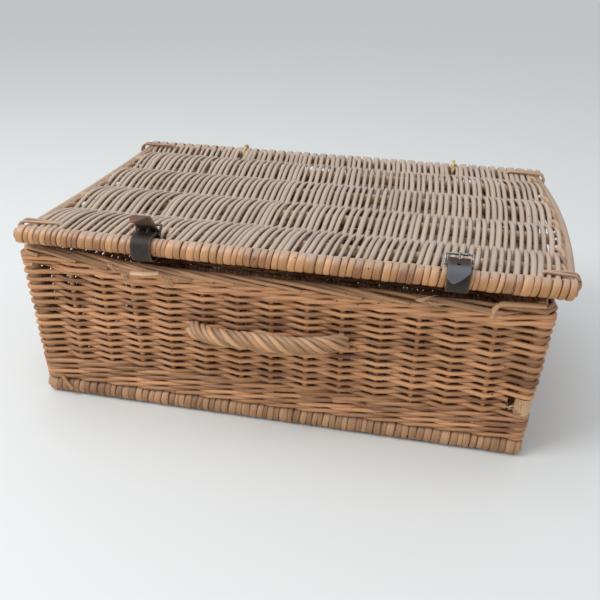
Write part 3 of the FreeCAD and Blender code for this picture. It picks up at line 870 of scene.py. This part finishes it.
def make_strap(name, centre_x, corners, radii, tip, holes, wear_and_reflection):
    """A flat band along its centre line, slotted at its start for the prong's eye. tip is (where its point
    lies across the band, the cut's length on its left, on its right); the last argument is how much worn
    brown and how much painted grey sky reflection lie there; holes are (distance from the tip, half length)."""
    line, length = rounded_line([(b / 1000, a / 1000) for b, a in corners], [r / 1000 for r in radii], 0.0012)
    shape = bmesh.new()
    bmesh.ops.create_grid(shape, x_segments=len(line) - 1, y_segments=18, size=1)
    wear = shape.verts.layers.float.new("wear")
    painted_sky_reflection = shape.verts.layers.float.new("painted_sky_reflection")
    half, hole_half, start_slot = 0.010, 0.0016, 0.0045
    apex, left_cut, right_cut = tip
    spots = {}
    for vertex in shape.verts:
        row = round((vertex.co.x + 1) / 2 * (len(line) - 1))
        side = vertex.co.y
        left = length * (1 - row / (len(line) - 1))
        cut = left_cut if side * half < apex else right_cut
        share = max(0.02, min(1, left / cut)) ** 0.7
        across = apex + (side * half - apex) * share + 0.0002 * math.sin(row * 0.21 + centre_x * 90)
        spots[vertex] = (across, left)
        vertex[wear] = max(0, (abs(side) - 0.8) / 0.3) + max(0, 1 - left / 0.005)
        vertex[wear] += wear_and_reflection[0] * max(0, min(1, (0.024 - left) / 0.006))
        # Painted reflection: how much grey sky reflection is painted on near the tip.
        vertex[painted_sky_reflection] = wear_and_reflection[1] * max(0, min(1, (0.019 - left) / 0.004))
        behind, above = line[row]
        vertex.co = (centre_x + across, front_y + behind, lid_z + above)
    punched = [v for v, (across, left) in spots.items()
               if abs(across) < hole_half and left > length - start_slot
               or any(math.hypot(across / min(hole_half, long), (left - hole) / long) < 1
                      for hole, long in holes)]
    bmesh.ops.delete(shape, geom=punched, context="VERTS")
    mesh = bpy.data.meshes.new(name)
    shape.to_mesh(mesh)
    shape.free()
    for polygon in mesh.polygons:
        polygon.use_smooth = True
    mesh.materials.append(strap_leather)
    piece = bpy.data.objects.new(name, mesh)
    bpy.context.scene.collection.objects.link(piece)
    thickness = piece.modifiers.new("thickness", "SOLIDIFY")
    thickness.thickness, thickness.offset = 0.002, 0
    edge = piece.modifiers.new("edge", "BEVEL")
    edge.width, edge.segments, edge.limit_method = 0.0004, 2, "ANGLE"
    return piece


strap_leather = leather("strap leather")
strap_start = [(9.3, 11.8), (-10.6, 10.6)]
strap_lines = {
    "left": strap_start + [(-10.6, -13.2), (14.4, -13.4), (15.6, 8.6), (10.2, 15.2), (3.6, 20.4), (3.8, 31.0),
                           (-11.0, 28.0)],
    "right": strap_start + [(-10.6, -11), (14.8, -12.5), (15.6, 8.6), (11, 14.8), (-14.4, 14.8),
                            (-14.8, 1.5)],
}
strap_turns = {"left": [10, 10, 8, 5, 4, 4.5, 4.5], "right": [10, 10, 8, 5, 4, 8.5]}
strap_tips = {"left": (-0.006, 0.004, 0.020), "right": (-0.004, 0.0055, 0.0105)}
strap_holes = {"left": [(0.0308, 0.0026)], "right": [(0.0195, 0.0013), (0.0342, 0.0026)]}
# For each strap, how much worn brown and how much painted grey sky reflection its tip takes.
strap_wear_and_reflections = {"left": (0.75, 0), "right": (0.1, 0.8)}
for side, centre_x in zip(("left", "right"), strap_places):
    strap = make_strap(side + "_strap_band", centre_x, strap_lines[side], strap_turns[side], strap_tips[side],
                       strap_holes[side], strap_wear_and_reflections[side])
    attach(strap, side + "_strap")
    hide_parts(side + "_strap")


# ---- Buckles and prongs ---------------------------------------------------------------------------------
# Plain wire buckles, a bent frame with a loose prong, gone dull with age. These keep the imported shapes.

def wire_metal(name, dull, bright):
    """Bare wire with cloudy tarnish."""
    wire = bpy.data.materials.new(name)
    wire.use_nodes = True
    metal = wire.node_tree.nodes["Principled BSDF"]
    metal.inputs["Metallic"].default_value = 1
    metal.inputs["Roughness"].default_value = 0.34
    place = wire.node_tree.nodes.new("ShaderNodeTexCoord")
    cloud = wire.node_tree.nodes.new("ShaderNodeTexNoise")
    cloud.inputs["Scale"].default_value = 500
    cloud.inputs["Detail"].default_value = 4
    wire.node_tree.links.new(place.outputs["Object"], cloud.inputs["Vector"])
    tarnish = wire.node_tree.nodes.new("ShaderNodeValToRGB")
    tarnish.color_ramp.elements[0].position, tarnish.color_ramp.elements[0].color = 0.36, (*dull, 1)
    tarnish.color_ramp.elements[1].position, tarnish.color_ramp.elements[1].color = 0.6, (*bright, 1)
    wire.node_tree.links.new(cloud.outputs["Fac"], tarnish.inputs[0])
    wire.node_tree.links.new(tarnish.outputs[0], metal.inputs["Base Color"])
    return wire


wires = {"left": wire_metal("dark wire", (0.05, 0.042, 0.038), (0.14, 0.125, 0.115)),
         "right": wire_metal("bright wire", (0.12, 0.11, 0.1), (0.42, 0.41, 0.39))}
for side in ("left", "right"):
    for part in ("_buckle", "_prong"):
        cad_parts[side + part].data.materials.clear()
        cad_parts[side + part].data.materials.append(wires[side])


# ---- Floor, light and camera ----------------------------------------------------------------------------
# A pale floor, soft light from above and a little from the front left, as in a bright white room.

floor_mesh = bpy.data.meshes.new("floor")
ground = bmesh.new()
bmesh.ops.create_grid(ground, x_segments=1, y_segments=1, size=40)
ground.to_mesh(floor_mesh)
ground.free()
floor = bpy.data.objects.new("floor", floor_mesh)
bpy.context.scene.collection.objects.link(floor)
floor_paint = bpy.data.materials.new("pale floor")
floor_paint.use_nodes = True
floor_paint.node_tree.nodes["Principled BSDF"].inputs["Base Color"].default_value = (0.74, 0.77, 0.765, 1)
floor_paint.node_tree.nodes["Principled BSDF"].inputs["Roughness"].default_value = 0.6
floor_mesh.materials.append(floor_paint)

bpy.context.scene.view_settings.view_transform = "Standard"
world = bpy.data.worlds.new("room light")
bpy.context.scene.world = world
world.use_nodes = True
world.node_tree.nodes["Background"].inputs["Color"].default_value = (0.96, 0.97, 1, 1)
world.node_tree.nodes["Background"].inputs["Strength"].default_value = 0.70


def soft_light(name, place, aim, size, power, colour):
    """A large soft area light pointed at a place."""
    lamp = bpy.data.lights.new(name, "AREA")
    lamp.shape, lamp.size, lamp.energy, lamp.color = "DISK", size, power, colour
    holder = bpy.data.objects.new(name, lamp)
    holder.location = place
    holder.rotation_euler = (Vector(aim) - Vector(place)).to_track_quat("-Z", "Y").to_euler()
    bpy.context.scene.collection.objects.link(holder)


soft_light("window", (-1.1, -0.9, 1.6), (0, -0.1, 0.1), 1.1, 18.5, (1, 0.99, 0.97))
soft_light("ceiling", (-0.3, -0.2, 2.0), (0, -0.2, 0.1), 1.4, 7.5, (0.97, 0.98, 1))

camera_data = bpy.data.cameras.new("camera")
camera_data.lens, camera_data.sensor_width = 42.1, 36
camera = bpy.data.objects.new("camera", camera_data)
bpy.context.scene.collection.objects.link(camera)
azimuth, elevation, tilt = math.radians(10.93), math.radians(27.02), math.radians(1.38)
back = Vector((math.sin(azimuth) * math.cos(elevation), -math.cos(azimuth) * math.cos(elevation),
               math.sin(elevation)))
right = (-back).cross(Vector((0, 0, 1))).normalized()
upward = right.cross(-back)
turned_right = right * math.cos(tilt) + upward * math.sin(tilt)
turned_up = upward * math.cos(tilt) - right * math.sin(tilt)
camera.matrix_world = Matrix.Translation(Vector((-0.0039, 0, 0.0623)) + back * 0.8608) @ Matrix(
    (turned_right, turned_up, back)).transposed().to_4x4()
bpy.context.scene.camera = camera
